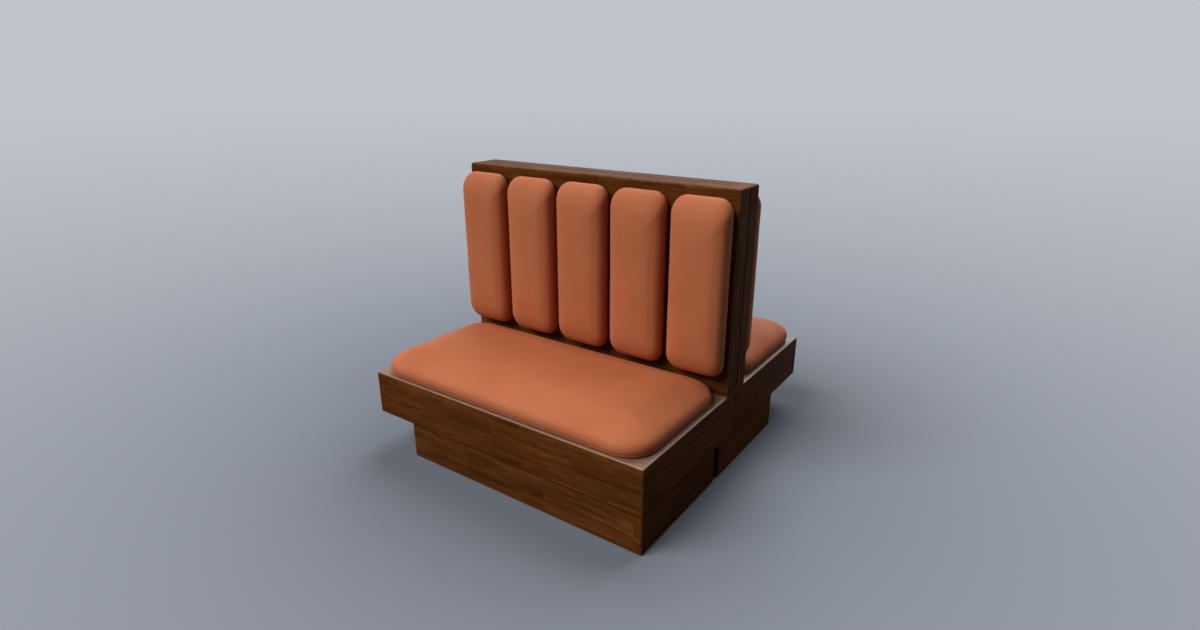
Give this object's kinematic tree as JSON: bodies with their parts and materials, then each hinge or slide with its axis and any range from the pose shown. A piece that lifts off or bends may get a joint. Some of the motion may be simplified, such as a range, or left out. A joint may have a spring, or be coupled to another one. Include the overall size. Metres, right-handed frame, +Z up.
{
  "type": "restaurant booth seating",
  "caption": "Double back-to-back restaurant booth: walnut seat boxes on set-back plinths, upright panels with padded leather bolsters and lift-off leather seats.",
  "frame": {"origin": "on the floor, under the middle of the two seat boxes", "axes": "+Z up, +X to the right as one faces the front bench, -Y the way the front bench faces; the rear bench faces +Y"},
  "size_m": [1.22, 1.3, 1.055],
  "materials": {
    "walnut_veneer": "open-pored walnut veneer under a satin lacquer",
    "inner_ply": "bare plywood and softwood framing, sealed",
    "tan_leather": "burnt-orange leather, fine grain, satin",
    "seat_foam": "cream upholstery foam",
    "black_tape": "woven hook-and-loop tape",
    "zinc_steel": "zinc-plated steel",
    "glide_plastic": "moulded black plastic"
  },
  "bodies": {
    "root": {"box_ribs": "inner_ply", "deck_hook_tapes": "black_tape", "floor_glides": "glide_plastic", "front_box_apron": "walnut_veneer", "front_box_back_board": "walnut_veneer", "front_box_bottom_board": "inner_ply", "front_box_deck": "walnut_veneer", "front_box_left_side": "walnut_veneer", "front_box_right_side": "walnut_veneer", "front_pad_1_cover": "tan_leather", "front_pad_2_cover": "tan_leather", "front_pad_3_cover": "tan_leather", "front_pad_4_cover": "tan_leather", "front_pad_5_cover": "tan_leather", "front_panel_face_board": "walnut_veneer", "front_panel_left_stile": "walnut_veneer", "front_panel_rear_board": "walnut_veneer", "front_panel_right_stile": "walnut_veneer", "front_panel_top_rail": "walnut_veneer", "front_plinth_back_board": "walnut_veneer", "front_plinth_face_board": "walnut_veneer", "front_plinth_left_end": "walnut_veneer", "front_plinth_right_end": "walnut_veneer", "joining_bolts": "zinc_steel", "joining_nuts": "zinc_steel", "pad_boards": "inner_ply", "pad_foams": "seat_foam", "panel_bolts": "zinc_steel", "panel_inner_rails": "inner_ply", "plinth_corner_blocks": "inner_ply", "plinth_cross_rails": "inner_ply", "rear_box_apron": "walnut_veneer", "rear_box_back_board": "walnut_veneer", "rear_box_bottom_board": "inner_ply", "rear_box_deck": "walnut_veneer", "rear_box_left_side": "walnut_veneer", "rear_box_right_side": "walnut_veneer", "rear_pad_1_cover": "tan_leather", "rear_pad_2_cover": "tan_leather", "rear_pad_3_cover": "tan_leather", "rear_pad_4_cover": "tan_leather", "rear_pad_5_cover": "tan_leather", "rear_panel_face_board": "walnut_veneer", "rear_panel_left_stile": "walnut_veneer", "rear_panel_rear_board": "walnut_veneer", "rear_panel_right_stile": "walnut_veneer", "rear_panel_top_rail": "walnut_veneer", "rear_plinth_back_board": "walnut_veneer", "rear_plinth_face_board": "walnut_veneer", "rear_plinth_left_end": "walnut_veneer", "rear_plinth_right_end": "walnut_veneer", "wood_screws": "zinc_steel"},
    "front_seat": {"front_seat_base_board": "inner_ply", "front_seat_cover": "tan_leather", "front_seat_foam": "seat_foam", "front_seat_loop_tapes": "black_tape"},
    "rear_seat": {"rear_seat_base_board": "inner_ply", "rear_seat_cover": "tan_leather", "rear_seat_foam": "seat_foam", "rear_seat_loop_tapes": "black_tape"}
  },
  "joints": [
    {"name": "front_seat_lift", "type": "slide", "parent": "root", "child": "front_seat", "axis": [0, -0.9397, 0.342], "range_m": [0, 0.15]},
    {"name": "rear_seat_lift", "type": "slide", "parent": "root", "child": "rear_seat", "axis": [0, 0.9397, 0.342], "range_m": [0, 0.15]}
  ]
}
